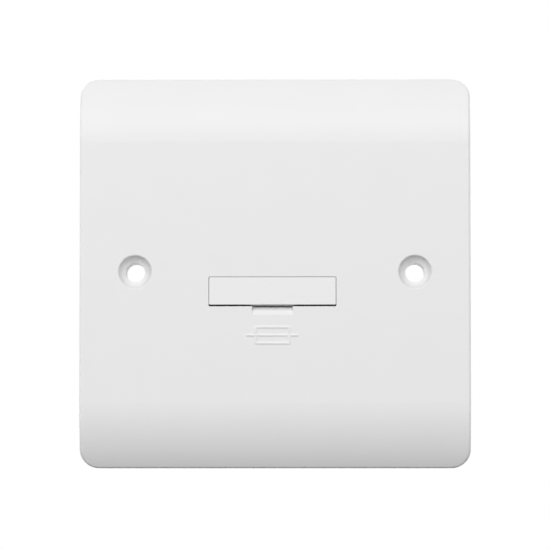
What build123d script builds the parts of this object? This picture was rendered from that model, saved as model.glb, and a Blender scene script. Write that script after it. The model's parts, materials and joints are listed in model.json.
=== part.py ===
from build123d import *
import os
from math import sqrt

# Fused spur unit for a flush wall box, in millimetres.
# X is to the right and Z up as seen from the room, and the front faces -Y.
# The origin lies on the wall plane, midway between the two fixing holes.

# Plate moulding: a shallow tray whose front rolls back to thin top and bottom edges
PLATE_WIDTH = 84.25
PLATE_HEIGHT = 84.25
PLATE_DEPTH = 9.0
EDGE_DEPTH = 4.6
ROLL_HEIGHT = 14.0
SKIN = 2.2
RIM = 2.2
CORNER_RADIUS = 4.0
INNER_CORNER_LEAST = 0.5
EDGE_ROUND = 0.7
RIB = 1.2
RIB_DEPTH = 2.6

# Fixing holes with a dished seat, at the standard centres of wall boxes
FIXING_CENTRES = 60.3
FIXING_HOLE = 4.2
SEAT_DIAMETER = 7.2
SEAT_DEPTH = 1.75
SEAT_ROUND = 0.3
PILLAR_WALL = 2.25

# One-inch cartridge fuse
FUSE_LENGTH = 25.4
CAP_DIAMETER = 6.3
CAP_LENGTH = 5.6
CAP_WALL = 0.45
CAP_ROUND = 0.3
CAP_FIT = 0.02
BARREL_BORE = 3.2
WIRE_DIAMETER = 0.3

# Fuse carrier: a drawer that slides straight out until the fuse can be lifted from it
FUSE_X = -0.55
FUSE_Z = -4.22
FACE_THICKNESS = 2.6
FACE_CORNER = 0.15
FACE_ROUND = 0.1
FUSE_SETBACK = 0.3
LIFT_CLEAR = 0.8
CHEEK = 0.8
CHEEK_OVERLAP = 7.0
LUG_REACH = 0.6
LUG_LENGTH = 1.6
LUG_HEIGHT = 2.2
LUG_LAND = 0.4
SADDLE_WIDTH = 9.0
SADDLE_RISE = 2.5
SADDLE_CLEAR = 0.15
GRIP_GROOVE = 0.7
GRIP_SETBACK = 0.9

# Clearances round the carrier
PASS_PLAY = 0.05
TOP_GAP = 0.1
BOTTOM_GAP = 0.36
SIDE_GAP = 0.1
END_PLAY = 0.15
SADDLE_PLAY = 0.05
LUG_PLAY = 0.1

# Guides behind the plate, and the lever notch in front
GUIDE_WALL = 1.2
GUIDE_LIP = 1.05
GUIDE_END_WALL = 1.2
NOTCH_WIDTH = 8.85
NOTCH_HEIGHT = 1.85
NOTCH_DEPTH = 2.0
NOTCH_LEAD_HEIGHT = 1.0
NOTCH_LEAD_DEPTH = 0.5
NOTCH_DRAFT = 0.18

# Sprung fuse clips and flat links, all pressed from one strip
STRIP = 0.6
STRIP_BEND = 0.5
BLANK_CORNER = 0.8
CLIP_WIDTH = 4.6
CLIP_SLOT = 0.6
JAW_PLAY = 0.05
JAW_LENGTH = 5.6
JAW_FLARE = 0.6
CLIP_BACK_GAP = 0.4
RISER_WIDTH = 4.4
RISER_RELIEF = 0.3
PAD_MARGIN = 0.8
LINK_WIDTH = 4.0

# Terminal blocks, staked to the strips and clamped by screws from the rear
TERMINAL_WIDTH = 7.0
TERMINAL_HEIGHT = 8.5
TERMINAL_CHAMFER = 0.5
WIRE_BORE = 4.6
BORE_FRONT_WALL = 1.1
THREAD_WALL = 2.6
STAKE_DIAMETER = 2.0
STAKE_HEAD = 3.4
STAKE_HEAD_HEIGHT = 0.35
STAKE_OFFSET = 1.8
STAKE_PLAY = 0.03

# Terminal screws, drawn backed out of the wire bore
SCREW_DIAMETER = 3.5
SCREW_LENGTH = 7.5
SCREW_HEAD = 5.8
SCREW_HEAD_HEIGHT = 2.0
SCREW_SLOT = 0.8
SCREW_PLAY = 0.05
TIP_CLEAR = 0.2

# Rear housing with two terminal banks and a shallower bay behind the fuse
HOUSING_WALL = 1.6
HOUSING_CORNER = 2.0
HOUSING_ROUND = 0.8
BAY_CLEAR = 1.8
BAY_END_PLAY = 0.2
TOWER_WALL = 1.4
PILLAR_GAP = 0.5
POCKET_PLAY = 0.1
SLEEVE_PLAY = 0.3
SLEEVE_WALL = 1.2
HEAD_SINK = 0.2
ENTRY_PLAY = 0.3
ENTRY_FLARE = 0.8
PEDESTAL_MARGIN = 0.1
POST_DIAMETER = 3.0
POST_OFFSET = 2.2
POST_PLAY = 0.05

# Housing lugs and their self-tapping screws
LUG_TAB_X = 14.5
LUG_TAB_RADIUS = 3.2
LUG_TAB_THICKNESS = 2.0
LUG_BOSS = 5.8
LUG_BOSS_HEIGHT = 2.8
TAPPER_DIAMETER = 2.6
TAPPER_LENGTH = 5.0
TAPPER_HEAD = 5.2
TAPPER_HEAD_HEIGHT = 1.6
TAPPER_SLOT = 0.7
TAPPER_PLAY = 0.05
TAPPER_END_GAP = 0.4
TAB_HOLE_PLAY = 0.2

# Levels in depth, from the front face back
FRONT = -PLATE_DEPTH
SKIN_MIDDLE = FRONT + SKIN / 2
SKIN_BACK = FRONT + SKIN
FACE_BACK = FRONT + FACE_THICKNESS
FUSE_Y = FACE_BACK + FUSE_SETBACK + CAP_DIAMETER / 2
FUSE_BACK = FUSE_Y + CAP_DIAMETER / 2
STRIP_FRONT = FUSE_BACK + CLIP_BACK_GAP
DECK = STRIP_FRONT + STRIP
BORE_Y = DECK + BORE_FRONT_WALL + WIRE_BORE / 2
BORE_BACK = BORE_Y + WIRE_BORE / 2
TERMINAL_BACK = BORE_BACK + THREAD_WALL
SCREW_SEAT = BORE_BACK + TIP_CLEAR + SCREW_LENGTH
BANK_REAR = SCREW_SEAT + SCREW_HEAD_HEIGHT + HEAD_SINK
LUG_SEAT = SKIN_BACK + LUG_BOSS_HEIGHT
TAB_BACK = LUG_SEAT + LUG_TAB_THICKNESS

# Travel of the carrier, and the stops of its lugs
CARRIER_TRAVEL = FUSE_BACK - FRONT + LIFT_CLEAR
CHEEK_END = FRONT + CARRIER_TRAVEL + CHEEK_OVERLAP
LUG_FRONT = CHEEK_END - LUG_LENGTH
SLOT_FRONT = LUG_FRONT - CARRIER_TRAVEL - LUG_PLAY
SLOT_BACK = CHEEK_END + LUG_PLAY
GUIDE_END = SLOT_BACK + GUIDE_END_WALL
BAY_FLOOR = GUIDE_END + BAY_END_PLAY
BAY_REAR = BAY_FLOOR + HOUSING_WALL

# Widths and heights about the fuse's centre
CHEEK_INNER = FUSE_LENGTH / 2 + END_PLAY
CHEEK_OUTER = CHEEK_INNER + CHEEK
APERTURE_HALF = CHEEK_OUTER + SIDE_GAP
APERTURE_HEIGHT = CAP_DIAMETER + 2 * PASS_PLAY
FACE_HEIGHT = APERTURE_HEIGHT - TOP_GAP - BOTTOM_GAP
FACE_SHIFT = (BOTTOM_GAP - TOP_GAP) / 2
BARREL_DIAMETER = CAP_DIAMETER - 2 * (CAP_WALL + CAP_FIT)
CLIP_X = (FUSE_LENGTH - CAP_LENGTH) / 2
JAW_INNER = CAP_DIAMETER / 2 + JAW_PLAY
GUIDE_HALF = APERTURE_HEIGHT / 2 + GUIDE_WALL
BAY_HALF = GUIDE_HALF + BAY_CLEAR
ROW_OFFSET = BAY_HALF + HOUSING_WALL + POCKET_PLAY + TERMINAL_HEIGHT / 2
PILLAR = FIXING_HOLE + 2 * PILLAR_WALL
HOUSING_HALF_X = (FIXING_CENTRES - PILLAR) / 2 - PILLAR_GAP
SIDE_TERMINAL_X = HOUSING_HALF_X - HOUSING_WALL - POCKET_PLAY - TERMINAL_WIDTH / 2
RISER_X = CLIP_X - CLIP_WIDTH / 2 - RISER_RELIEF - RISER_WIDTH / 2
HOUSING_HALF_Z = ROW_OFFSET + TERMINAL_HEIGHT / 2 + POCKET_PLAY + HOUSING_WALL
LUG_TAB_Z = HOUSING_HALF_Z + LUG_TAB_RADIUS

# Each terminal's place across the unit and its row: supply above the fuse, load below
SUPPLY = 1
LOAD = -1
TERMINALS = {
    "earth_supply": (-SIDE_TERMINAL_X, SUPPLY),
    "live_supply": (FUSE_X - RISER_X, SUPPLY),
    "neutral_supply": (SIDE_TERMINAL_X, SUPPLY),
    "earth_load": (-SIDE_TERMINAL_X, LOAD),
    "live_load": (FUSE_X + RISER_X, LOAD),
    "neutral_load": (SIDE_TERMINAL_X, LOAD),
}
SIDES = (-1, 1)

# Frames for what is centred on the fuse and for what only shares its height
AT_FUSE = Pos(FUSE_X, 0, FUSE_Z)
AT_ROWS = Pos(0, 0, FUSE_Z)


def block(x0, x1, y0, y1, z0, z1):
    """Rectangular block between two corners."""
    centre = Pos((x0 + x1) / 2, (y0 + y1) / 2, (z0 + z1) / 2)
    return centre * Box(abs(x1 - x0), abs(y1 - y0), abs(z1 - z0))


def rod_x(diameter, x0, x1, y, z):
    """Round rod across the unit."""
    return Pos((x0 + x1) / 2, y, z) * Rot(0, 90, 0) * Cylinder(diameter / 2, abs(x1 - x0))


def rod_y(diameter, y0, y1, x, z):
    """Round rod from front to back."""
    return Pos(x, (y0 + y1) / 2, z) * Rot(90, 0, 0) * Cylinder(diameter / 2, abs(y1 - y0))


def rod_z(diameter, z0, z1, x, y):
    """Round upright rod."""
    return Pos(x, y, (z0 + z1) / 2) * Cylinder(diameter / 2, abs(z1 - z0))


def prism_y(sketch, y0, y1):
    """Outline drawn in X and Z, carried from one depth to another."""
    return Pos(0, y1, 0) * extrude(Plane.XZ * sketch, y1 - y0)


def prism_x(sketch, width):
    """Section drawn in Y and Z, carried across the unit about its middle."""
    return extrude(Plane.YZ * sketch, width / 2, both=True)


def pair(shape):
    """A shape and its mirror image across the fuse's middle."""
    return shape + mirror(shape, about=Plane.YZ)


def plate_form(width, height, front, roll, radius, corner):
    """Solid with a flat front that rolls back on an arc to its top and bottom edges."""
    reach = height / 2 - roll + radius
    section = Pos(front + radius, 0) * SlotOverall(2 * reach, 2 * radius, 90)
    return prism_x(section, 2 * width) & prism_y(RectangleRounded(width, height, corner), front - radius, 0)


def front_outline(form):
    """Edges where the front and its rolls meet the side walls."""
    steepest = -0.5
    edges = [edge for face in form.faces() if face.normal_at().Y < steepest for edge in face.edges()]
    return [edge for edge in edges if sum(edge.is_same(other) for other in edges) == 1]


def plate_shell():
    """Tray with an even skin, rounded all round the front."""
    drop = PLATE_DEPTH - EDGE_DEPTH
    radius = (ROLL_HEIGHT**2 + drop**2) / (2 * drop)
    outer = plate_form(PLATE_WIDTH, PLATE_HEIGHT, FRONT, ROLL_HEIGHT, radius, CORNER_RADIUS)
    outer = fillet(front_outline(outer), EDGE_ROUND)
    hollow = plate_form(
        PLATE_WIDTH - 2 * RIM,
        PLATE_HEIGHT - 2 * RIM,
        SKIN_BACK,
        ROLL_HEIGHT - RIM,
        radius - SKIN,
        max(CORNER_RADIUS - RIM, INNER_CORNER_LEAST),
    )
    return outer - hollow + (plate_ribs() & outer)


def plate_ribs():
    """Stiffening ribs from the pillars to the sides and from the lug bosses to the edges."""
    ribs = []
    back = SKIN_BACK + RIB_DEPTH
    half = RIB / 2
    for side in SIDES:
        pillar_x = side * FIXING_CENTRES / 2
        side_x = side * (PLATE_WIDTH - RIM) / 2
        ribs.append(block(pillar_x, side_x, SKIN_MIDDLE, back, -half, half))
        lug_x = side * LUG_TAB_X
        for row in SIDES:
            lug_z = FUSE_Z + row * LUG_TAB_Z
            edge_z = row * (PLATE_HEIGHT - RIM) / 2
            ribs.append(block(lug_x - half, lug_x + half, SKIN_MIDDLE, back, lug_z, edge_z))
    return Part() + ribs


def fixing_cut(x):
    """Through hole with a bowl-shaped seat for a raised countersunk head."""
    rim = SEAT_DIAMETER / 2
    hole = FIXING_HOLE / 2
    lift = (rim**2 - hole**2 - SEAT_DEPTH**2) / (2 * SEAT_DEPTH)
    bowl = Pos(x, FRONT - lift, 0) * Sphere(sqrt(rim**2 + lift**2))
    return bowl + rod_y(FIXING_HOLE, FRONT, 0, x, 0)


def seat_rims(plate):
    """Edges where the two seats meet the front."""
    circles = plate.edges().filter_by(GeomType.CIRCLE).group_by(Axis.Y)[0]
    return [edge for edge in circles if edge.radius > FIXING_HOLE / 2]


def carrier_guide():
    """Channel for the right cheek, with the slot in which its lug travels between two stops."""
    outer = APERTURE_HALF + GUIDE_WALL
    slot_half = LUG_HEIGHT / 2 + LUG_PLAY
    channel = block(APERTURE_HALF - GUIDE_LIP, outer, SKIN_MIDDLE, GUIDE_END, -GUIDE_HALF, GUIDE_HALF)
    return channel - block(APERTURE_HALF, outer, SLOT_FRONT, SLOT_BACK, -slot_half, slot_half)


def carrier_opening():
    """Opening for the carrier, carried back through the guides."""
    corner = FACE_CORNER + SIDE_GAP
    return prism_y(RectangleRounded(2 * APERTURE_HALF, APERTURE_HEIGHT, corner), FRONT, GUIDE_END)


def lever_notch():
    """Slope that leads a blade in and then down behind the carrier's lower edge, between drafted ends."""
    edge = -APERTURE_HEIGHT / 2
    foot = edge - NOTCH_HEIGHT
    back = FRONT + NOTCH_DEPTH
    slope = make_face(
        Polyline(
            (FRONT, foot),
            (FRONT + NOTCH_LEAD_DEPTH, foot + NOTCH_LEAD_HEIGHT),
            (back, edge),
            (back, 0),
            (FRONT, 0),
            close=True,
        )
    )
    wide = NOTCH_WIDTH / 2
    narrow = wide - NOTCH_DRAFT * NOTCH_DEPTH
    ends = make_face(Polyline((-wide, FRONT), (wide, FRONT), (narrow, back), (-narrow, back), close=True))
    return prism_x(slope, NOTCH_WIDTH) & extrude(ends, -foot, both=True)


def front_plate():
    """White moulded plate with its pillars, guides, bosses and terminal posts."""
    plate = plate_shell()
    for side in SIDES:
        plate += rod_y(PILLAR, SKIN_MIDDLE, 0, side * FIXING_CENTRES / 2, 0)
    for x, z in lug_places():
        plate += rod_y(LUG_BOSS, SKIN_MIDDLE, LUG_SEAT, x, z)
    for x, row in TERMINALS.values():
        z = FUSE_Z + row * (ROW_OFFSET + POST_OFFSET)
        plate += rod_y(POST_DIAMETER, SKIN_MIDDLE, STRIP_FRONT - POST_PLAY, x, z)
    plate += AT_FUSE * pair(carrier_guide())
    plate -= AT_FUSE * carrier_opening()
    plate -= AT_FUSE * lever_notch()
    for side in SIDES:
        plate -= fixing_cut(side * FIXING_CENTRES / 2)
    plate = fillet(seat_rims(plate), SEAT_ROUND)
    pilot_end = TAB_BACK - TAPPER_LENGTH - TAPPER_END_GAP
    for x, z in lug_places():
        plate -= rod_y(TAPPER_DIAMETER + 2 * TAPPER_PLAY, pilot_end, LUG_SEAT, x, z)
    return plate


def lug_places():
    """Centres of the four housing lugs."""
    return [(side * LUG_TAB_X, FUSE_Z + row * LUG_TAB_Z) for side in SIDES for row in SIDES]


def cheek_lug():
    """Ramped lug on the outside of the right cheek, square where it meets the front stop."""
    reach = CHEEK_OUTER + LUG_REACH
    ramp = make_face(
        Polyline(
            (CHEEK_INNER, LUG_FRONT),
            (reach, LUG_FRONT),
            (reach, LUG_FRONT + LUG_LAND),
            (CHEEK_OUTER, CHEEK_END),
            (CHEEK_INNER, CHEEK_END),
            close=True,
        )
    )
    return extrude(ramp, LUG_HEIGHT / 2, both=True)


def saddle():
    """Open trough under the fuse's barrel, from which it lifts out upwards."""
    bottom = SADDLE_CLEAR - APERTURE_HEIGHT / 2
    half = SADDLE_WIDTH / 2
    trough = rod_x(BARREL_DIAMETER + 2 * SADDLE_PLAY, -half, half, FUSE_Y, 0)
    face_inside = FACE_BACK - FACE_THICKNESS / 2
    return block(-half, half, face_inside, FUSE_BACK, bottom, bottom + SADDLE_RISE) - trough


def fuse_carrier():
    """Drawer with a flat face, two cheeks with captive lugs, and a saddle for the fuse."""
    outline = Pos(0, FACE_SHIFT) * RectangleRounded(2 * CHEEK_OUTER, FACE_HEIGHT, FACE_CORNER)
    face = prism_y(outline, FRONT, FACE_BACK)
    face = fillet(face.faces().sort_by(Axis.Y)[0].edges(), FACE_ROUND)
    lower = FACE_SHIFT - FACE_HEIGHT / 2
    cheek_low = lower + FACE_CORNER
    cheek_high = lower + FACE_HEIGHT - FACE_CORNER
    cheek = block(CHEEK_INNER, CHEEK_OUTER, FACE_BACK - CHEEK, CHEEK_END, cheek_low, cheek_high)
    groove_x = NOTCH_WIDTH / 2
    groove_y = FRONT + GRIP_SETBACK
    groove = rod_x(GRIP_GROOVE, -groove_x, groove_x, groove_y + GRIP_GROOVE / 2, lower)
    return AT_FUSE * (face + pair(cheek + cheek_lug()) + saddle() - groove)


def fuse_barrel():
    """Ceramic tube that reaches to the ends of both caps."""
    half = FUSE_LENGTH / 2 - CAP_WALL
    tube = rod_x(BARREL_DIAMETER, -half, half, FUSE_Y, 0)
    return AT_FUSE * (tube - rod_x(BARREL_BORE, -half, half, FUSE_Y, 0))


def fuse_cap(side):
    """Pressed cup over one end of the barrel."""
    end = FUSE_LENGTH / 2
    cup = rod_x(CAP_DIAMETER, end - CAP_LENGTH, end, FUSE_Y, 0)
    cup = fillet(cup.faces().sort_by(Axis.X)[-1].edges(), CAP_ROUND)
    cup -= rod_x(CAP_DIAMETER - 2 * CAP_WALL, end - CAP_LENGTH, end - CAP_WALL, FUSE_Y, 0)
    return AT_FUSE * (cup if side > 0 else mirror(cup, about=Plane.YZ))


def fuse_wire():
    """Fuse element from cap to cap along the middle of the tube."""
    half = FUSE_LENGTH / 2 - CAP_WALL
    return AT_FUSE * rod_x(WIRE_DIAMETER, -half, half, FUSE_Y, 0)


def clip_jaws():
    """U-shaped spring clip for one fuse cap, with split and flared jaw tips."""
    middle = DECK - STRIP / 2
    grip = JAW_INNER + STRIP / 2
    tip = STRIP_FRONT - JAW_LENGTH
    flare_start = tip + 2 * JAW_FLARE
    path = FilletPolyline(
        (tip, grip + JAW_FLARE),
        (flare_start, grip),
        (middle, grip),
        (middle, -grip),
        (flare_start, -grip),
        (tip, -grip - JAW_FLARE),
        radius=STRIP_BEND + STRIP / 2,
    )
    jaws = prism_x(trace(path, STRIP), CLIP_WIDTH)
    reach = grip + JAW_FLARE + STRIP
    half_slot = CLIP_SLOT / 2
    return jaws - block(-half_slot, half_slot, tip - STRIP, FUSE_Y, -reach, reach)


def supply_contact():
    """Clip over the fuse's left cap and its flat strap up to the terminal above."""
    base_half = JAW_INNER - STRIP_BEND
    clip_left = -CLIP_X - CLIP_WIDTH / 2
    riser_left = -RISER_X - RISER_WIDTH / 2
    riser_right = -RISER_X + RISER_WIDTH / 2
    riser_top = ROW_OFFSET + TERMINAL_HEIGHT / 2 - PAD_MARGIN
    outline = make_face(
        Polyline(
            (clip_left, -base_half),
            (riser_right, -base_half),
            (riser_right, riser_top),
            (riser_left, riser_top),
            (riser_left, base_half),
            (clip_left, base_half),
            close=True,
        )
    )
    blank = prism_y(fillet(outline.vertices(), BLANK_CORNER), STRIP_FRONT, DECK)
    contact = blank + Pos(-CLIP_X, 0, 0) * clip_jaws()
    return contact - stake_hole(-RISER_X, SUPPLY)


def stake_hole(x, row):
    """Hole in a strip for the stake of a terminal block."""
    z = row * (ROW_OFFSET - STAKE_OFFSET)
    return rod_y(STAKE_DIAMETER + 2 * STAKE_PLAY, STRIP_FRONT, DECK, x, z)


def live_contact(row):
    """Supply contact as drawn, or the same piece turned half round for the load side."""
    turn = 0 if row == SUPPLY else 180
    return AT_FUSE * Rot(0, turn, 0) * supply_contact()


def link(x):
    """Straight strap that joins a supply terminal to the load terminal below it."""
    length = 2 * ROW_OFFSET + TERMINAL_HEIGHT - 2 * PAD_MARGIN
    strap = prism_y(Pos(x, 0) * RectangleRounded(LINK_WIDTH, length, BLANK_CORNER), STRIP_FRONT, DECK)
    return AT_ROWS * (strap - stake_hole(x, SUPPLY) - stake_hole(x, LOAD))


def terminal(x, row):
    """Brass block with a wire bore, a threaded clamp hole and a stake through its strip."""
    half_width = TERMINAL_WIDTH / 2
    low = ROW_OFFSET - TERMINAL_HEIGHT / 2
    high = ROW_OFFSET + TERMINAL_HEIGHT / 2
    brass = block(-half_width, half_width, DECK, TERMINAL_BACK, low, high)
    brass = chamfer(brass.edges().filter_by(Axis.Z), TERMINAL_CHAMFER)
    stake_z = ROW_OFFSET - STAKE_OFFSET
    brass += rod_y(STAKE_DIAMETER, STRIP_FRONT - STAKE_HEAD_HEIGHT, DECK, 0, stake_z)
    head = rod_y(STAKE_HEAD, STRIP_FRONT - STAKE_HEAD_HEIGHT, STRIP_FRONT, 0, stake_z)
    brass += chamfer(head.faces().sort_by(Axis.Y)[0].edges(), STAKE_HEAD_HEIGHT / 2)
    brass -= rod_z(WIRE_BORE, low, high, 0, BORE_Y)
    brass -= rod_y(SCREW_DIAMETER + 2 * SCREW_PLAY, BORE_Y, TERMINAL_BACK, 0, ROW_OFFSET)
    turn = 0 if row == SUPPLY else 180
    return AT_ROWS * Pos(x, 0, 0) * Rot(0, turn, 0) * brass


def screw(diameter, length, head, head_height, slot):
    """Slotted pan-head screw that points at -Y, with its seat at the origin."""
    radius = diameter / 2
    tip = radius / 3
    crown = head_height / 3
    section = make_face(
        Polyline(
            (0, -length),
            (radius - tip, -length),
            (radius, tip - length),
            (radius, 0),
            (head / 2, 0),
            (head / 2, head_height - crown),
            (head / 2 - crown, head_height),
            (0, head_height),
            close=True,
        )
    )
    body = revolve(section, Axis.Y)
    return body - block(-slot / 2, slot / 2, head_height / 2, head_height, -head / 2, head / 2)


def terminal_screw(x, row):
    """Clamp screw of one terminal, with its tip just clear of the wire bore."""
    clamp = screw(SCREW_DIAMETER, SCREW_LENGTH, SCREW_HEAD, SCREW_HEAD_HEIGHT, SCREW_SLOT)
    return AT_ROWS * Pos(x, SCREW_SEAT, row * ROW_OFFSET) * clamp


def housing_screws():
    """The four screws through the housing's lugs."""
    tapper = screw(TAPPER_DIAMETER, TAPPER_LENGTH, TAPPER_HEAD, TAPPER_HEAD_HEIGHT, TAPPER_SLOT)
    return Compound([Pos(x, TAB_BACK, z) * tapper for x, z in lug_places()])


def housing_form():
    """Rounded box with a raised bank behind each row of terminals."""
    outline = RectangleRounded(2 * HOUSING_HALF_X, 2 * HOUSING_HALF_Z, HOUSING_CORNER)
    box = prism_y(outline, SKIN_BACK, BAY_REAR)
    form = fillet(box.faces().sort_by(Axis.Y)[-1].edges(), HOUSING_ROUND)
    bank_outline = RectangleRounded(2 * HOUSING_HALF_X, HOUSING_HALF_Z - BAY_HALF, HOUSING_CORNER)
    for row in SIDES:
        middle = row * (HOUSING_HALF_Z + BAY_HALF) / 2
        bank = prism_y(Pos(0, middle) * bank_outline, DECK, BANK_REAR)
        form += fillet(bank.faces().sort_by(Axis.Y)[-1].edges(), HOUSING_ROUND)
    return form


def housing_hollow():
    """Space inside the housing: a mouth behind the plate, the fuse bay and the two banks."""
    inner_x = HOUSING_HALF_X - HOUSING_WALL
    inner_z = HOUSING_HALF_Z - HOUSING_WALL
    mouth = RectangleRounded(2 * inner_x, 2 * inner_z, HOUSING_CORNER / 2)
    hollow = prism_y(mouth, SKIN_BACK, DECK)
    hollow += block(-inner_x, inner_x, DECK, BAY_FLOOR, -BAY_HALF, BAY_HALF)
    for row in SIDES:
        near = row * (BAY_HALF + HOUSING_WALL)
        hollow += block(-inner_x, inner_x, DECK, BANK_REAR - HOUSING_WALL, near, row * inner_z)
    return hollow


def terminal_tower(row):
    """Pocket walls, floor and screw sleeve for one terminal, before its cuts."""
    half = TERMINAL_WIDTH / 2 + POCKET_PLAY + TOWER_WALL
    low = row * (ROW_OFFSET - TERMINAL_HEIGHT / 2 - HOUSING_WALL)
    high = row * (ROW_OFFSET + TERMINAL_HEIGHT / 2 + HOUSING_WALL)
    floor = TERMINAL_BACK + TOWER_WALL
    sleeve = SCREW_HEAD + 2 * (SLEEVE_PLAY + SLEEVE_WALL)
    rear = BANK_REAR - HOUSING_WALL / 2
    return block(-half, half, DECK, floor, low, high) + rod_y(sleeve, floor, rear, 0, row * ROW_OFFSET)


def terminal_cuts(row):
    """Pocket, screw sleeve and funnel-shaped wire entry of one terminal."""
    half = TERMINAL_WIDTH / 2 + POCKET_PLAY
    reach = TERMINAL_HEIGHT / 2 + POCKET_PLAY
    centre = row * ROW_OFFSET
    outside = row * HOUSING_HALF_Z
    entry = WIRE_BORE + 2 * ENTRY_PLAY
    cuts = block(-half, half, DECK, TERMINAL_BACK, centre - reach, centre + reach)
    cuts += rod_y(SCREW_HEAD + 2 * SLEEVE_PLAY, TERMINAL_BACK, BANK_REAR, 0, centre)
    cuts += rod_z(entry, centre, outside, 0, BORE_Y)
    funnel = Cone(entry / 2, entry / 2 + ENTRY_FLARE, ENTRY_FLARE)
    turn = 0 if row == SUPPLY else 180
    return cuts + Pos(0, BORE_Y, outside - row * ENTRY_FLARE / 2) * Rot(turn, 0, 0) * funnel


def lug_tab(side, row):
    """Lug that stands out of the housing over one boss of the plate."""
    root = HOUSING_HALF_Z - HOUSING_WALL / 2
    stem = Pos(0, row * (root + LUG_TAB_Z) / 2) * Rectangle(2 * LUG_TAB_RADIUS, LUG_TAB_Z - root)
    outline = stem + Pos(0, row * LUG_TAB_Z) * Circle(LUG_TAB_RADIUS)
    tab = prism_y(Pos(side * LUG_TAB_X, 0) * outline, LUG_SEAT, TAB_BACK)
    hole = TAPPER_DIAMETER + 2 * TAB_HOLE_PLAY
    return tab - rod_y(hole, LUG_SEAT, TAB_BACK, side * LUG_TAB_X, row * LUG_TAB_Z)


def clip_pedestal(side):
    """Block under a fuse clip that takes the push of a fuse going in."""
    x = FUSE_X + side * CLIP_X
    half = CLIP_WIDTH / 2 + PEDESTAL_MARGIN
    reach = JAW_INNER + STRIP
    return block(x - half, x + half, DECK, BAY_FLOOR + HOUSING_WALL / 2, -reach, reach)


def terminal_housing():
    """Rear moulding that holds the terminals, links and fuse clips against the plate."""
    form = housing_form()
    housing = form - housing_hollow()
    for side in SIDES:
        housing += clip_pedestal(side)
        for row in SIDES:
            housing += lug_tab(side, row)
    for x, row in TERMINALS.values():
        housing += Pos(x, 0, 0) * terminal_tower(row) & form
    for x, row in TERMINALS.values():
        housing -= Pos(x, 0, 0) * terminal_cuts(row)
    return AT_ROWS * housing


def build():
    """Every piece of the unit by its name."""
    pieces = {
        "front_plate": front_plate(),
        "fuse_carrier": fuse_carrier(),
        "fuse_barrel": fuse_barrel(),
        "fuse_cap_left": fuse_cap(-1),
        "fuse_cap_right": fuse_cap(1),
        "fuse_wire": fuse_wire(),
        "live_supply_contact": live_contact(SUPPLY),
        "live_load_contact": live_contact(LOAD),
        "earth_link": link(-SIDE_TERMINAL_X),
        "neutral_link": link(SIDE_TERMINAL_X),
        "terminal_housing": terminal_housing(),
        "housing_screws": housing_screws(),
    }
    for name, (x, row) in TERMINALS.items():
        pieces[f"{name}_terminal"] = terminal(x, row)
        pieces[f"{name}_screw"] = terminal_screw(x, row)
    return pieces


os.makedirs("parts", exist_ok=True)
for name, piece in build().items():
    export_step(piece, f"parts/{name}.step")
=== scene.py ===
"""Looks of a fused spur unit: finishes, moulded signs, stage, light and camera round its solids."""

import json
import math

import bmesh
import bpy
from bpy.props import FloatProperty, FloatVectorProperty, PointerProperty
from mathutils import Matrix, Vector


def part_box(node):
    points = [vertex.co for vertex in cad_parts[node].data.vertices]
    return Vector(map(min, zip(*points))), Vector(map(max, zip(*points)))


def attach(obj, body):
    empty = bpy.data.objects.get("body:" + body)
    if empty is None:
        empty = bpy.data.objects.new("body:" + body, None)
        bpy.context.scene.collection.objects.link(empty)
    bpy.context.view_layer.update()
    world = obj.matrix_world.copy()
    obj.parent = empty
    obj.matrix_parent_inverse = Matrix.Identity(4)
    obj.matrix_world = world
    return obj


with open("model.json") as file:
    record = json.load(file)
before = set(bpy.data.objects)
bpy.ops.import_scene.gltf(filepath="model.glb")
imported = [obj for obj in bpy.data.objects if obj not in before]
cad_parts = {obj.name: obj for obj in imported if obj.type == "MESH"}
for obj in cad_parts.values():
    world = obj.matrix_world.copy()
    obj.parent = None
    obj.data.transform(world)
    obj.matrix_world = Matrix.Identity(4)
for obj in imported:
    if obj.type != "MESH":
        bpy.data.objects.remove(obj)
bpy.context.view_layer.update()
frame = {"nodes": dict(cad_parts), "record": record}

bl_info = {
    "name": "Fused Spur Unit Looks",
    "version": (1, 0, 0),
    "blender": (4, 5, 0),
    "location": "3D View > Sidebar > Spur Unit",
    "description": "Finishes, moulded signs, stage and camera for a fused spur unit",
    "category": "Object",
}

MM = 0.001
PLATE_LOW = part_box("front_plate")[0]
CARRIER_LOW, CARRIER_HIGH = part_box("fuse_carrier")
FRONT = PLATE_LOW.y
FUSE_X = (CARRIER_LOW.x + CARRIER_HIGH.x) / 2
HOUSING_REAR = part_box("terminal_housing")[1].y
ENTRIES = [mount for mount in frame["record"]["mounts"] if mount["name"].endswith("_entry")]


def linear(code):
    """Linear colour of an sRGB hex value."""
    parts = [int(code[i : i + 2], 16) / 255 for i in (1, 3, 5)]
    return tuple(c / 12.92 if c <= 0.04045 else ((c + 0.055) / 1.055) ** 2.4 for c in parts)


# Settings that a user would change


class SignSizes(bpy.types.PropertyGroup):
    """Raised fuse sign on the front of the plate."""

    box_width: FloatProperty(
        name="Box width", description="Width of the sign's box", default=7.15 * MM, unit="LENGTH"
    )
    box_height: FloatProperty(
        name="Box height", description="Height of the sign's box", default=3.45 * MM, unit="LENGTH"
    )
    line_length: FloatProperty(
        name="Line length",
        description="Length of the line through the box",
        default=11.4 * MM,
        unit="LENGTH",
    )
    drop: FloatProperty(
        name="Drop",
        description="Depth of the sign below the plate's centre",
        default=13.65 * MM,
        unit="LENGTH",
    )
    stroke: FloatProperty(
        name="Stroke", description="Width of the raised lines", default=0.8 * MM, unit="LENGTH"
    )
    rise: FloatProperty(
        name="Rise", description="Height of the raised lines", default=0.13 * MM, unit="LENGTH"
    )


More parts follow.
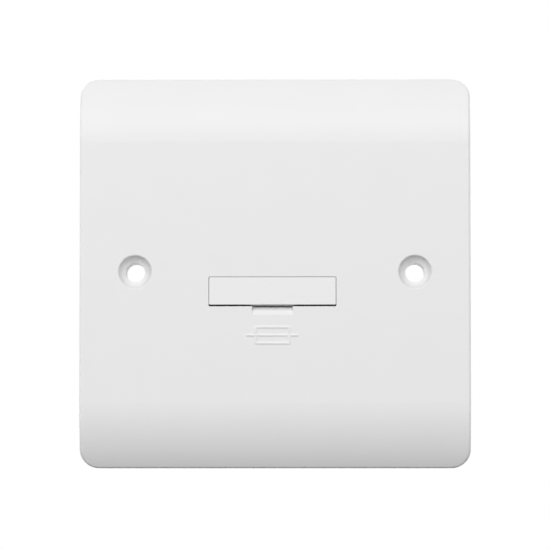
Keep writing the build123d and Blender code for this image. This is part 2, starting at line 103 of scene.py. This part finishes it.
class MarkSizes(bpy.types.PropertyGroup):
    """Moulded terminal letters on the rear of the housing."""

    height: FloatProperty(
        name="Height", description="Height of a mark", default=2.8 * MM, unit="LENGTH"
    )
    width: FloatProperty(
        name="Width", description="Width of a mark", default=2.0 * MM, unit="LENGTH"
    )
    offset: FloatProperty(
        name="Offset", description="Distance of a mark from its screw", default=5.6 * MM, unit="LENGTH"
    )
    stroke: FloatProperty(
        name="Stroke", description="Width of the raised lines", default=0.6 * MM, unit="LENGTH"
    )
    rise: FloatProperty(
        name="Rise", description="Height of the raised lines", default=0.45 * MM, unit="LENGTH"
    )


class FinishColours(bpy.types.PropertyGroup):
    """Base colours of the finishes."""

    plate_urea: FloatVectorProperty(
        name="Plate urea",
        description="Front plate and its sign",
        default=linear("#E6E6E6"),
        subtype="COLOR",
    )
    carrier_urea: FloatVectorProperty(
        name="Carrier urea", description="Fuse carrier", default=linear("#E9E9EA"), subtype="COLOR"
    )
    nylon: FloatVectorProperty(
        name="Nylon", description="Terminal housing", default=linear("#E6E5DF"), subtype="COLOR"
    )
    brass: FloatVectorProperty(
        name="Brass", description="Terminal blocks", default=linear("#D9B469"), subtype="COLOR"
    )
    bronze: FloatVectorProperty(
        name="Bronze", description="Clips and links", default=linear("#CFA070"), subtype="COLOR"
    )
    zinc: FloatVectorProperty(
        name="Zinc", description="Plating of the screws", default=linear("#C9CBCC"), subtype="COLOR"
    )
    ceramic: FloatVectorProperty(
        name="Ceramic", description="Tube of the fuse", default=linear("#EAE6DB"), subtype="COLOR"
    )
    nickel: FloatVectorProperty(
        name="Nickel", description="Caps of the fuse", default=linear("#BDBBB5"), subtype="COLOR"
    )
    silver: FloatVectorProperty(
        name="Silver", description="Wire of the fuse", default=linear("#DDDCD8"), subtype="COLOR"
    )


class StageSettings(bpy.types.PropertyGroup):
    """Camera, lamps and ambient light."""

    camera_distance: FloatProperty(
        name="Camera distance", description="From the camera to the plate", default=0.87, unit="LENGTH"
    )
    camera_rise: FloatProperty(
        name="Camera rise",
        description="Camera above the level",
        default=math.radians(-3.6),
        subtype="ANGLE",
    )
    camera_turn: FloatProperty(
        name="Camera turn",
        description="Camera to the right",
        default=math.radians(0.65),
        subtype="ANGLE",
    )
    frame_width: FloatProperty(
        name="Frame width",
        description="Width seen at the plate's front",
        default=118.4 * MM,
        unit="LENGTH",
    )
    aim_right: FloatProperty(
        name="Aim right", description="Aim beside the plate's centre", default=0.0, unit="LENGTH"
    )
    aim_up: FloatProperty(
        name="Aim up", description="Aim above the plate's centre", default=-0.68 * MM, unit="LENGTH"
    )
    key_power: FloatProperty(
        name="Key power", description="Soft box over the camera", default=17.7, unit="POWER"
    )
    side_power: FloatProperty(
        name="Side power", description="Soft box at each side", default=1.5, unit="POWER"
    )
    rear_power: FloatProperty(
        name="Rear power", description="Soft box behind the unit", default=5.5, unit="POWER"
    )
    ambient: FloatProperty(
        name="Ambient", description="Light from all round", default=0.19, min=0.0, soft_max=2.0
    )


# Nodes and materials

# Colour sockets of a Mix node: its two inputs and its output
MIX_A = 6
MIX_B = 7
MIXED = 2

# Sizes of the patterns, and heights of their bumps, in millimetres
MOTTLE = 9.0
PEEL = 0.9
PEEL_HEIGHT = 0.006
CLOUD = 7.0
GRAIN = 0.55
GRAIN_HEIGHT = 0.1
TARNISH = 4.0
LINE_HEIGHT = 0.02
SPECK = 0.5
SPECK_HEIGHT = 0.02
PAPER_GRAIN = 3.0

# Values of the specks' noise: dark up to the first, and clear from the second on
SPECK_DARK = 0.28
SPECK_CLEAR = 0.45


def add_node(tree, kind, inputs=None, **settings):
    """A shader node with its settings, whose inputs take values or other nodes' outputs."""
    node = tree.nodes.new(kind)
    for name, value in settings.items():
        setattr(node, name, value)
    for name, value in (inputs or {}).items():
        if isinstance(value, bpy.types.NodeSocket):
            tree.links.new(value, node.inputs[name])
        else:
            node.inputs[name].default_value = value
    return node


def per_metre(size):
    """Pattern scale that repeats once in a size in millimetres."""
    return 1 / (size * MM)


def new_material(name):
    """Empty node material and its tree."""
    made = bpy.data.materials.new(name)
    made.use_nodes = True
    made.node_tree.nodes.clear()
    return made, made.node_tree


def opaque(colour):
    """Colour with full alpha, as sockets take it."""
    return (*colour, 1.0)


def shade(colour, factor):
    """The same hue, darker or lighter."""
    return opaque(tuple(min(c * factor, 1.0) for c in colour))


def moulded_urea(name, colour):
    """Urea pressed in a polished mould: even white gloss, a trace of mottle and a soft orange peel."""
    made, tree = new_material(name)
    place = add_node(tree, "ShaderNodeTexCoord").outputs["Object"]
    mottle = add_node(
        tree, "ShaderNodeTexNoise", {"Vector": place, "Scale": per_metre(MOTTLE), "Detail": 3.0}
    )
    tint = add_node(
        tree,
        "ShaderNodeMix",
        {"Factor": mottle.outputs["Fac"], MIX_A: shade(colour, 0.985), MIX_B: shade(colour, 1.01)},
        data_type="RGBA",
    )
    peel = add_node(
        tree, "ShaderNodeTexNoise", {"Vector": place, "Scale": per_metre(PEEL), "Detail": 2.0}
    )
    gloss = add_node(
        tree, "ShaderNodeMapRange", {"Value": peel.outputs["Fac"], "To Min": 0.26, "To Max": 0.34}
    )
    bump = add_node(
        tree,
        "ShaderNodeBump",
        {"Height": peel.outputs["Fac"], "Strength": 0.25, "Distance": PEEL_HEIGHT * MM},
    )
    skin = add_node(
        tree,
        "ShaderNodeBsdfPrincipled",
        {
            "Base Color": tint.outputs[MIXED],
            "Roughness": gloss.outputs["Result"],
            "Normal": bump.outputs["Normal"],
            "IOR": 1.55,
        },
    )
    add_node(tree, "ShaderNodeOutputMaterial", {"Surface": skin.outputs["BSDF"]})
    return made


def moulded_nylon(colour):
    """Nylon moulded in a spark-eroded tool: creamy, satin, with a sandy grain."""
    made, tree = new_material("Moulded nylon, spark eroded")
    place = add_node(tree, "ShaderNodeTexCoord").outputs["Object"]
    cloud = add_node(
        tree, "ShaderNodeTexNoise", {"Vector": place, "Scale": per_metre(CLOUD), "Detail": 4.0}
    )
    tint = add_node(
        tree,
        "ShaderNodeMix",
        {"Factor": cloud.outputs["Fac"], MIX_A: shade(colour, 0.95), MIX_B: shade(colour, 1.03)},
        data_type="RGBA",
    )
    # The real grain is about 0.1 mm wide: it is drawn coarser here, so that it shows
    grain = add_node(
        tree, "ShaderNodeTexNoise", {"Vector": place, "Scale": per_metre(GRAIN), "Detail": 3.0}
    )
    gloss = add_node(
        tree, "ShaderNodeMapRange", {"Value": grain.outputs["Fac"], "To Min": 0.42, "To Max": 0.58}
    )
    bump = add_node(
        tree,
        "ShaderNodeBump",
        {"Height": grain.outputs["Fac"], "Strength": 1.0, "Distance": GRAIN_HEIGHT * MM},
    )
    skin = add_node(
        tree,
        "ShaderNodeBsdfPrincipled",
        {
            "Base Color": tint.outputs[MIXED],
            "Roughness": gloss.outputs["Result"],
            "Normal": bump.outputs["Normal"],
            "IOR": 1.53,
            "Subsurface Weight": 0.08,
            "Subsurface Radius": (1.0, 0.9, 0.8),
            "Subsurface Scale": 1.0 * MM,
        },
    )
    add_node(tree, "ShaderNodeOutputMaterial", {"Surface": skin.outputs["BSDF"]})
    return made


def worked_metal(name, colour, line, stretch, roughness):
    """Metal with the lines of its working: their spacing in mm, and how far each axis draws them out."""
    made, tree = new_material(name)
    place = add_node(tree, "ShaderNodeTexCoord").outputs["Object"]
    along = add_node(
        tree, "ShaderNodeMapping", {"Vector": place, "Scale": [1 / length for length in stretch]}
    )
    # Real lines are 0.02 to 0.05 mm apart: all are drawn coarser here, so that they show
    lines = add_node(
        tree,
        "ShaderNodeTexNoise",
        {"Vector": along.outputs["Vector"], "Scale": per_metre(line), "Detail": 4.0},
    )
    tarnish = add_node(
        tree, "ShaderNodeTexNoise", {"Vector": place, "Scale": per_metre(TARNISH), "Detail": 3.0}
    )
    tint = add_node(
        tree,
        "ShaderNodeMix",
        {"Factor": tarnish.outputs["Fac"], MIX_A: shade(colour, 0.82), MIX_B: shade(colour, 1.08)},
        data_type="RGBA",
    )
    gloss = add_node(
        tree,
        "ShaderNodeMapRange",
        {"Value": lines.outputs["Fac"], "To Min": roughness - 0.08, "To Max": roughness + 0.1},
    )
    bump = add_node(
        tree,
        "ShaderNodeBump",
        {"Height": lines.outputs["Fac"], "Strength": 0.35, "Distance": LINE_HEIGHT * MM},
    )
    skin = add_node(
        tree,
        "ShaderNodeBsdfPrincipled",
        {
            "Base Color": tint.outputs[MIXED],
            "Metallic": 1.0,
            "Roughness": gloss.outputs["Result"],
            "Normal": bump.outputs["Normal"],
        },
    )
    add_node(tree, "ShaderNodeOutputMaterial", {"Surface": skin.outputs["BSDF"]})
    return made


def fired_ceramic(colour):
    """Steatite tube fired without glaze: chalky, with fine dark specks."""
    made, tree = new_material("Fired steatite, unglazed")
    place = add_node(tree, "ShaderNodeTexCoord").outputs["Object"]
    speck = add_node(
        tree, "ShaderNodeTexNoise", {"Vector": place, "Scale": per_metre(SPECK), "Detail": 5.0}
    )
    tint = add_node(tree, "ShaderNodeValToRGB", {"Fac": speck.outputs["Fac"]})
    dark, clear = tint.color_ramp.elements
    dark.position = SPECK_DARK
    dark.color = shade(colour, 0.72)
    clear.position = SPECK_CLEAR
    clear.color = opaque(colour)
    bump = add_node(
        tree,
        "ShaderNodeBump",
        {"Height": speck.outputs["Fac"], "Strength": 0.4, "Distance": SPECK_HEIGHT * MM},
    )
    skin = add_node(
        tree,
        "ShaderNodeBsdfPrincipled",
        {
            "Base Color": tint.outputs["Color"],
            "Roughness": 0.62,
            "Normal": bump.outputs["Normal"],
            "IOR": 1.58,
        },
    )
    add_node(tree, "ShaderNodeOutputMaterial", {"Surface": skin.outputs["BSDF"]})
    return made


def dress(nodes, finish):
    """Gives solids one finish in place of their own."""
    for name in nodes:
        slots = frame["nodes"][name].material_slots
        if not slots:
            raise RuntimeError(f"{name} has no material slot")
        for place in slots:
            place.material = finish


def nodes_of(slot):
    """Solids that the record gives one material slot."""
    return [part["node"] for part in frame["record"]["subparts"] if part["material_slot"] == slot]


def finish_of(node):
    """Finish that a solid was dressed in."""
    return frame["nodes"][node].material_slots[0].material


# Raised lines

# Depth to which a line's foot is sunk, so that no gap shows under it
SINK = 0.1 * MM
# Steps across the crown and round an open end, and the share of its size that the last section keeps
CROWN_STEPS = 12
END_STEPS = 5
END_LEAST = 0.05
# Share of the stroke within which the shading turns at a corner
CORNER_NEAR = 0.6
# Shares of the mark's width that the lower bars of the earth sign take up
EARTH_MIDDLE_BAR = 0.62
EARTH_LOWEST_BAR = 0.24


def ridge_section(stroke, rise):
    """Closed bell-shaped section of a raised line, as side and height pairs, with its foot sunk."""
    shares = [i / CROWN_STEPS for i in range(CROWN_STEPS + 1)]
    crown = [(stroke * (share - 0.5), rise * math.sin(math.pi * share) ** 2) for share in shares]
    return [(-stroke / 2, -SINK), *crown, (stroke / 2, -SINK)]


def corner_points(path, closed, stroke):
    """The path with a point on each side of every corner, so that its shading turns only there."""
    ends = path[1:] + path[:1] if closed else path[1:]
    points = []
    for start, end in zip(path, ends):
        run = Vector(end) - Vector(start)
        near = run.normalized() * min(CORNER_NEAR * stroke, run.length / 3)
        points += [Vector(start), Vector(start) + near, Vector(end) - near]
    return points if closed else [*points, Vector(path[-1])]


def path_stations(path, closed, stroke):
    """Centre, sideways direction and size of the section along a path of straight runs."""
    points = corner_points(path, closed, stroke)
    count = len(points)
    stations = []
    for i, point in enumerate(points):
        before = points[i] - points[i - 1] if closed or i else points[1] - points[0]
        after = points[(i + 1) % count] - points[i] if closed or i < count - 1 else before
        sides = [Vector((-d.y, d.x)).normalized() for d in (before, after)]
        mitre = (sides[0] + sides[1]) / (1 + sides[0].dot(sides[1]))
        stations.append((point, mitre, 1.0))
    if closed:
        return stations
    # Each end of an open path is rounded off
    first = (points[0] - points[1]).normalized()
    last = (points[-1] - points[-2]).normalized()
    for i in range(1, END_STEPS + 1):
        turn = math.pi / 2 * i / END_STEPS
        size = max(math.cos(turn), END_LEAST)
        reach = stroke / 2 * math.sin(turn)
        stations.insert(0, (points[0] + first * reach, stations[0][1], size))
        stations.append((points[-1] + last * reach, stations[-1][1], size))
    return stations


def add_ridge(mesh, path, closed, section, stroke, place):
    """Raised line along a path; place turns across, up and height into a point."""
    rings = []
    for centre, side, size in path_stations(path, closed, stroke):
        ring = []
        for across, height in section:
            spot = centre + side * across * size
            ring.append(mesh.verts.new(place(spot.x, spot.y, height * size if height > 0 else height)))
        rings.append(ring)
    count = len(section)
    pairs = list(zip(rings, rings[1:]))
    if closed:
        pairs.append((rings[-1], rings[0]))
    for near, far in pairs:
        for i in range(count):
            j = (i + 1) % count
            face = mesh.faces.new((near[i], near[j], far[j], far[i]))
            face.smooth = 0 < i < count - 2
    if not closed:
        mesh.faces.new(rings[0])
        mesh.faces.new(reversed(rings[-1]))


def on_front(x, z):
    """Place of a point of a sign that is centred at x and z on the plate's front."""
    return lambda across, up, height: (x + across, FRONT - height, up + z)


def on_rear(x, z):
    """Place of a point of a mark that is centred at x and z on the housing's rear and read from there."""
    return lambda across, up, height: (x - across, HOUSING_REAR + height, up + z)


def add_piece(name, mesh, finish):
    """Adds an object made from a bmesh, on the unit's own body."""
    bmesh.ops.recalc_face_normals(mesh, faces=mesh.faces)
    data = bpy.data.meshes.new(name)
    mesh.to_mesh(data)
    mesh.free()
    data.materials.append(finish)
    piece = bpy.data.objects.new(name, data)
    bpy.context.scene.collection.objects.link(piece)
    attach(piece, "unit")


# Steps that finish and mark the unit


class SPUR_OT_finish_plate(bpy.types.Operator):
    """Give the plate and the fuse carrier their moulded gloss"""

    bl_idname = "spur.finish_plate"
    bl_label = "Finish plate and carrier"

    def execute(self, context):
        colours = context.scene.spur_colours
        dress(["front_plate"], moulded_urea("Moulded urea, polished", colours.plate_urea))
        # The carrier is pressed apart, from a batch that looks a shade whiter beside the plate
        dress(["fuse_carrier"], moulded_urea("Moulded urea, whiter batch", colours.carrier_urea))
        return {"FINISHED"}


class SPUR_OT_finish_housing(bpy.types.Operator):
    """Give the terminal housing its satin grain"""

    bl_idname = "spur.finish_housing"
    bl_label = "Finish housing"

    def execute(self, context):
        dress(nodes_of("housing_moulding"), moulded_nylon(context.scene.spur_colours.nylon))
        return {"FINISHED"}


class SPUR_OT_finish_metal(bpy.types.Operator):
    """Give terminals, strips and screws their metals"""

    bl_idname = "spur.finish_metal"
    bl_label = "Finish metal parts"

    def execute(self, context):
        colours = context.scene.spur_colours
        # Blocks sawn from drawn bar: warm yellow, streaked along the bar and dulled a little by the air
        brass = worked_metal("Brass, drawn bar", colours.brass, line=0.3, stretch=(1, 1, 20), roughness=0.3)
        dress(nodes_of("terminal_brass"), brass)
        # Strip rolled hard for its spring: redder than the blocks, with a bright grain along it
        bronze = worked_metal(
            "Phosphor bronze, rolled strip", colours.bronze, line=0.25, stretch=(1, 1, 25), roughness=0.26
        )
        dress(nodes_of("contact_strip"), bronze)
        # Turned and plated: a cool, half bright grey, a little uneven where the plating is thin
        zinc = worked_metal("Steel, zinc plated", colours.zinc, line=0.3, stretch=(1, 4, 1), roughness=0.3)
        dress(nodes_of("plated_screws"), zinc)
        return {"FINISHED"}


class SPUR_OT_finish_fuse(bpy.types.Operator):
    """Give the fuse its tube, caps and wire"""

    bl_idname = "spur.finish_fuse"
    bl_label = "Finish fuse"

    def execute(self, context):
        colours = context.scene.spur_colours
        dress(nodes_of("fuse_tube"), fired_ceramic(colours.ceramic))
        # Caps drawn from sheet: a warm grey silver, smoother than the screws, with lines along the draw
        nickel = worked_metal(
            "Nickel on drawn brass", colours.nickel, line=0.25, stretch=(15, 1, 1), roughness=0.24
        )
        dress(nodes_of("fuse_caps"), nickel)
        # Wire pulled through a die: pale and soft bright along its length
        silver = worked_metal(
            "Silvered wire, drawn", colours.silver, line=0.1, stretch=(30, 1, 1), roughness=0.3
        )
        dress(nodes_of("fuse_element"), silver)
        return {"FINISHED"}


class SPUR_OT_raise_fuse_sign(bpy.types.Operator):
    """Raise the fuse sign on the plate under the carrier"""

    bl_idname = "spur.raise_fuse_sign"
    bl_label = "Raise fuse sign"

    def execute(self, context):
        sign = context.scene.spur_sign
        section = ridge_section(sign.stroke, sign.rise)
        half_width = sign.box_width / 2
        half_height = sign.box_height / 2
        half_line = (sign.line_length - sign.stroke) / 2
        box = [
            (-half_width, -half_height),
            (half_width, -half_height),
            (half_width, half_height),
            (-half_width, half_height),
        ]
        line = [(-half_line, 0), (half_line, 0)]
        place = on_front(FUSE_X, -sign.drop)
        mesh = bmesh.new()
        add_ridge(mesh, box, True, section, sign.stroke, place)
        add_ridge(mesh, line, False, section, sign.stroke, place)
        add_piece("fuse_sign", mesh, finish_of("front_plate"))
        return {"FINISHED"}


class SPUR_OT_raise_terminal_marks(bpy.types.Operator):
    """Raise the letters and earth signs beside the terminal screws"""

    bl_idname = "spur.raise_terminal_marks"
    bl_label = "Raise terminal marks"

    def execute(self, context):
        marks = context.scene.spur_marks
        section = ridge_section(marks.stroke, marks.rise)
        w = marks.width / 2
        h = marks.height / 2
        middle_bar = w * EARTH_MIDDLE_BAR
        lowest_bar = w * EARTH_LOWEST_BAR
        strokes = {
            "live": [[(-w, h), (-w, -h), (w, -h)]],
            "neutral": [[(-w, -h), (-w, h), (w, -h), (w, h)]],
            "earth": [
                [(0, h), (0, 0)],
                [(-w, 0), (w, 0)],
                [(-middle_bar, -h / 2), (middle_bar, -h / 2)],
                [(-lowest_bar, -h), (lowest_bar, -h)],
            ],
        }
        for entry in ENTRIES:
            wire = entry["name"].split("_")[0]
            x, _, z = entry["pos_m"]
            inward = -1 if x > 0 else 1
            place = on_rear(x + inward * marks.offset, z)
            mesh = bmesh.new()
            for path in strokes[wire]:
                add_ridge(mesh, path, False, section, marks.stroke, place)
            name = entry["name"].replace("_entry", "_mark")
            add_piece(name, mesh, finish_of("terminal_housing"))
        return {"FINISHED"}


# Stage

# Lengths are in metres, turns are to the right of the front and rises above the level
FLOOR_DROP = 0.48
FLOOR_RADIUS = 5.0
FLOOR_FADE = 4.6
FLOOR_SIDES = 96
FLOOR_GLOW_NEAR = 0.5
KEY_DISTANCE = 1.1
KEY_TURN = math.radians(-6)
KEY_RISE = math.radians(24.5)
KEY_SIZE = (2.2, 0.6)
SIDE_DISTANCE = 0.9
SIDE_TURN = math.radians(102)
SIDE_RISE = math.radians(6)
SIDE_SIZE = (0.5, 0.6)
REAR_DISTANCE = 0.8
REAR_TURN = math.pi
REAR_RISE = math.radians(36)
REAR_SIZE = (1.2, 0.6)
CAMERA_NEAREST = 0.01
CAMERA_FARTHEST = 20.0

WHITE = opaque(linear("#FFFFFF"))
PAPER_DARK = opaque(linear("#C4C4C4"))
PAPER_LIGHT = opaque(linear("#CACACA"))
PAPER_DULL = opaque(linear("#7A7A7A"))


def aim(thing, target):
    """Turns a lamp or camera to face a point."""
    thing.rotation_mode = "QUATERNION"
    thing.rotation_quaternion = (target - thing.location).to_track_quat("-Z", "Y")


def soft_box(name, power, width, height, place, target):
    """Rectangular lamp that the camera doesn't see."""
    data = bpy.data.lights.new(name, "AREA")
    data.shape = "RECTANGLE"
    data.size = width
    data.size_y = height
    data.energy = power
    lamp = bpy.data.objects.new(name, data)
    bpy.context.scene.collection.objects.link(lamp)
    lamp.location = place
    aim(lamp, target)
    lamp.visible_camera = False
    return lamp


def seen_directly(tree):
    """One for rays of the eye, of reflections and through clear things, and nought for other light."""
    path = add_node(tree, "ShaderNodeLightPath")
    both = add_node(
        tree,
        "ShaderNodeMath",
        {0: path.outputs["Is Camera Ray"], 1: path.outputs["Is Glossy Ray"]},
        operation="MAXIMUM",
    )
    return add_node(
        tree,
        "ShaderNodeMath",
        {0: both.outputs[0], 1: path.outputs["Is Transmission Ray"]},
        operation="MAXIMUM",
    ).outputs[0]


def matt_paper():
    """Matt pale paper with a faint grain, which turns into the white air further off."""
    made, tree = new_material("Matt paper, pale")
    place = add_node(tree, "ShaderNodeTexCoord").outputs["Object"]
    seen = seen_directly(tree)
    grain = add_node(
        tree, "ShaderNodeTexNoise", {"Vector": place, "Scale": per_metre(PAPER_GRAIN), "Detail": 3.0}
    )
    pale = add_node(
        tree,
        "ShaderNodeMix",
        {"Factor": grain.outputs["Fac"], MIX_A: PAPER_DARK, MIX_B: PAPER_LIGHT},
        data_type="RGBA",
    )
    # Pale to the eye, yet dull to scattered light, so that the plate's underside keeps its shade
    tint = add_node(
        tree,
        "ShaderNodeMix",
        {"Factor": seen, MIX_A: PAPER_DULL, MIX_B: pale.outputs[MIXED]},
        data_type="RGBA",
    )
    paper = add_node(tree, "ShaderNodeBsdfDiffuse", {"Color": tint.outputs[MIXED]})
    # The paper keeps the shadow near the unit, and its glow grows to white at the end of the fade
    glow = add_node(tree, "ShaderNodeEmission", {"Color": WHITE, "Strength": 1.0})
    reach = add_node(tree, "ShaderNodeMapping", {"Vector": place, "Scale": [1 / FLOOR_FADE] * 3})
    near = add_node(
        tree, "ShaderNodeTexGradient", {"Vector": reach.outputs["Vector"]}, gradient_type="SPHERICAL"
    )
    fade = add_node(
        tree,
        "ShaderNodeMapRange",
        {"Value": near.outputs["Fac"], "To Min": 1.0, "To Max": FLOOR_GLOW_NEAR},
    )
    share = add_node(
        tree, "ShaderNodeMath", {0: seen, 1: fade.outputs["Result"]}, operation="MULTIPLY"
    )
    both = add_node(
        tree,
        "ShaderNodeMixShader",
        {0: share.outputs[0], 1: paper.outputs["BSDF"], 2: glow.outputs["Emission"]},
    )
    add_node(tree, "ShaderNodeOutputMaterial", {"Surface": both.outputs["Shader"]})
    return made


def polar(distance, turn, rise):
    """Offset from the plate: turn is to the right of the front and rise above the level."""
    return distance * Vector(
        (math.sin(turn) * math.cos(rise), -math.cos(turn) * math.cos(rise), math.sin(rise))
    )


class SPUR_OT_set_stage(bpy.types.Operator):
    """Set the floor, the light and the camera"""

    bl_idname = "spur.set_stage"
    bl_label = "Set stage"

    def execute(self, context):
        stage = context.scene.spur_stage
        centre = Vector((0, FRONT, 0))
        self.light_world(context, stage)
        self.lay_floor(context)
        self.hang_lamps(stage, centre)
        self.place_camera(context, stage, centre)
        context.scene.view_settings.view_transform = "Standard"
        return {"FINISHED"}

    def light_world(self, context, stage):
        """White air to the eye and in reflections, and a weak light from all round."""
        world = bpy.data.worlds.new("Pale studio")
        world.use_nodes = True
        tree = world.node_tree
        tree.nodes.clear()
        level = add_node(
            tree,
            "ShaderNodeMapRange",
            {"Value": seen_directly(tree), "To Min": stage.ambient, "To Max": 1.0},
        )
        air = add_node(
            tree, "ShaderNodeBackground", {"Color": WHITE, "Strength": level.outputs["Result"]}
        )
        add_node(tree, "ShaderNodeOutputWorld", {"Surface": air.outputs["Background"]})
        context.scene.world = world

    def lay_floor(self, context):
        """Round floor, far enough below the unit to show it from beneath."""
        mesh = bmesh.new()
        bmesh.ops.create_circle(mesh, cap_ends=True, radius=FLOOR_RADIUS, segments=FLOOR_SIDES)
        data = bpy.data.meshes.new("floor")
        mesh.to_mesh(data)
        mesh.free()
        floor = bpy.data.objects.new("floor", data)
        floor.location.z = PLATE_LOW.z - FLOOR_DROP
        context.scene.collection.objects.link(floor)
        data.materials.append(matt_paper())

    def hang_lamps(self, stage, centre):
        """Soft boxes over the camera, behind the unit and at its two sides."""
        key = centre + polar(KEY_DISTANCE, KEY_TURN, KEY_RISE)
        rear = centre + polar(REAR_DISTANCE, REAR_TURN, REAR_RISE)
        key_lamp = soft_box("key_soft_box", stage.key_power, *KEY_SIZE, key, centre)
        rear_lamp = soft_box("rear_soft_box", stage.rear_power, *REAR_SIZE, rear, centre)
        # Gloss and metal show the pale studio, not a white glare of the two strong lamps
        key_lamp.visible_glossy = False
        rear_lamp.visible_glossy = False
        for word, turn in (("left", -SIDE_TURN), ("right", SIDE_TURN)):
            side = centre + polar(SIDE_DISTANCE, turn, SIDE_RISE)
            soft_box(f"{word}_soft_box", stage.side_power, *SIDE_SIZE, side, centre)

    def place_camera(self, context, stage, centre):
        """Camera in front of the plate, with a lens that takes in the frame's width there."""
        data = bpy.data.cameras.new("camera")
        camera = bpy.data.objects.new("camera", data)
        context.scene.collection.objects.link(camera)
        target = centre + Vector((stage.aim_right, 0, stage.aim_up))
        camera.location = target + polar(stage.camera_distance, stage.camera_turn, stage.camera_rise)
        aim(camera, target)
        data.lens = data.sensor_width * stage.camera_distance / stage.frame_width
        data.clip_start = CAMERA_NEAREST
        data.clip_end = CAMERA_FARTHEST
        context.scene.camera = camera


class SPUR_PT_looks(bpy.types.Panel):
    """Steps and settings in the sidebar"""

    bl_idname = "SPUR_PT_looks"
    bl_label = "Spur unit looks"
    bl_space_type = "VIEW_3D"
    bl_region_type = "UI"
    bl_category = "Spur Unit"

    def draw(self, context):
        for name, group in GROUPS.items():
            box = self.layout.box()
            for setting in group.__annotations__:
                box.prop(getattr(context.scene, name), setting)
        for step in STEPS:
            self.layout.operator(step.bl_idname)


GROUPS = {
    "spur_sign": SignSizes,
    "spur_marks": MarkSizes,
    "spur_colours": FinishColours,
    "spur_stage": StageSettings,
}
STEPS = (
    SPUR_OT_finish_plate,
    SPUR_OT_finish_housing,
    SPUR_OT_finish_metal,
    SPUR_OT_finish_fuse,
    SPUR_OT_raise_fuse_sign,
    SPUR_OT_raise_terminal_marks,
    SPUR_OT_set_stage,
)


def register():
    """Registers the settings, the steps and the panel."""
    for name, group in GROUPS.items():
        bpy.utils.register_class(group)
        setattr(bpy.types.Scene, name, PointerProperty(type=group))
    for step in (*STEPS, SPUR_PT_looks):
        bpy.utils.register_class(step)


def unregister():
    """Takes all of it out again."""
    for step in reversed((*STEPS, SPUR_PT_looks)):
        bpy.utils.unregister_class(step)
    for name, group in reversed(GROUPS.items()):
        delattr(bpy.types.Scene, name)
        bpy.utils.unregister_class(group)


def main():
    """Runs every step in order."""
    register()
    bpy.ops.spur.finish_plate()
    bpy.ops.spur.finish_housing()
    bpy.ops.spur.finish_metal()
    bpy.ops.spur.finish_fuse()
    bpy.ops.spur.raise_fuse_sign()
    bpy.ops.spur.raise_terminal_marks()
    bpy.ops.spur.set_stage()


if __name__ == "__main__":
    main()
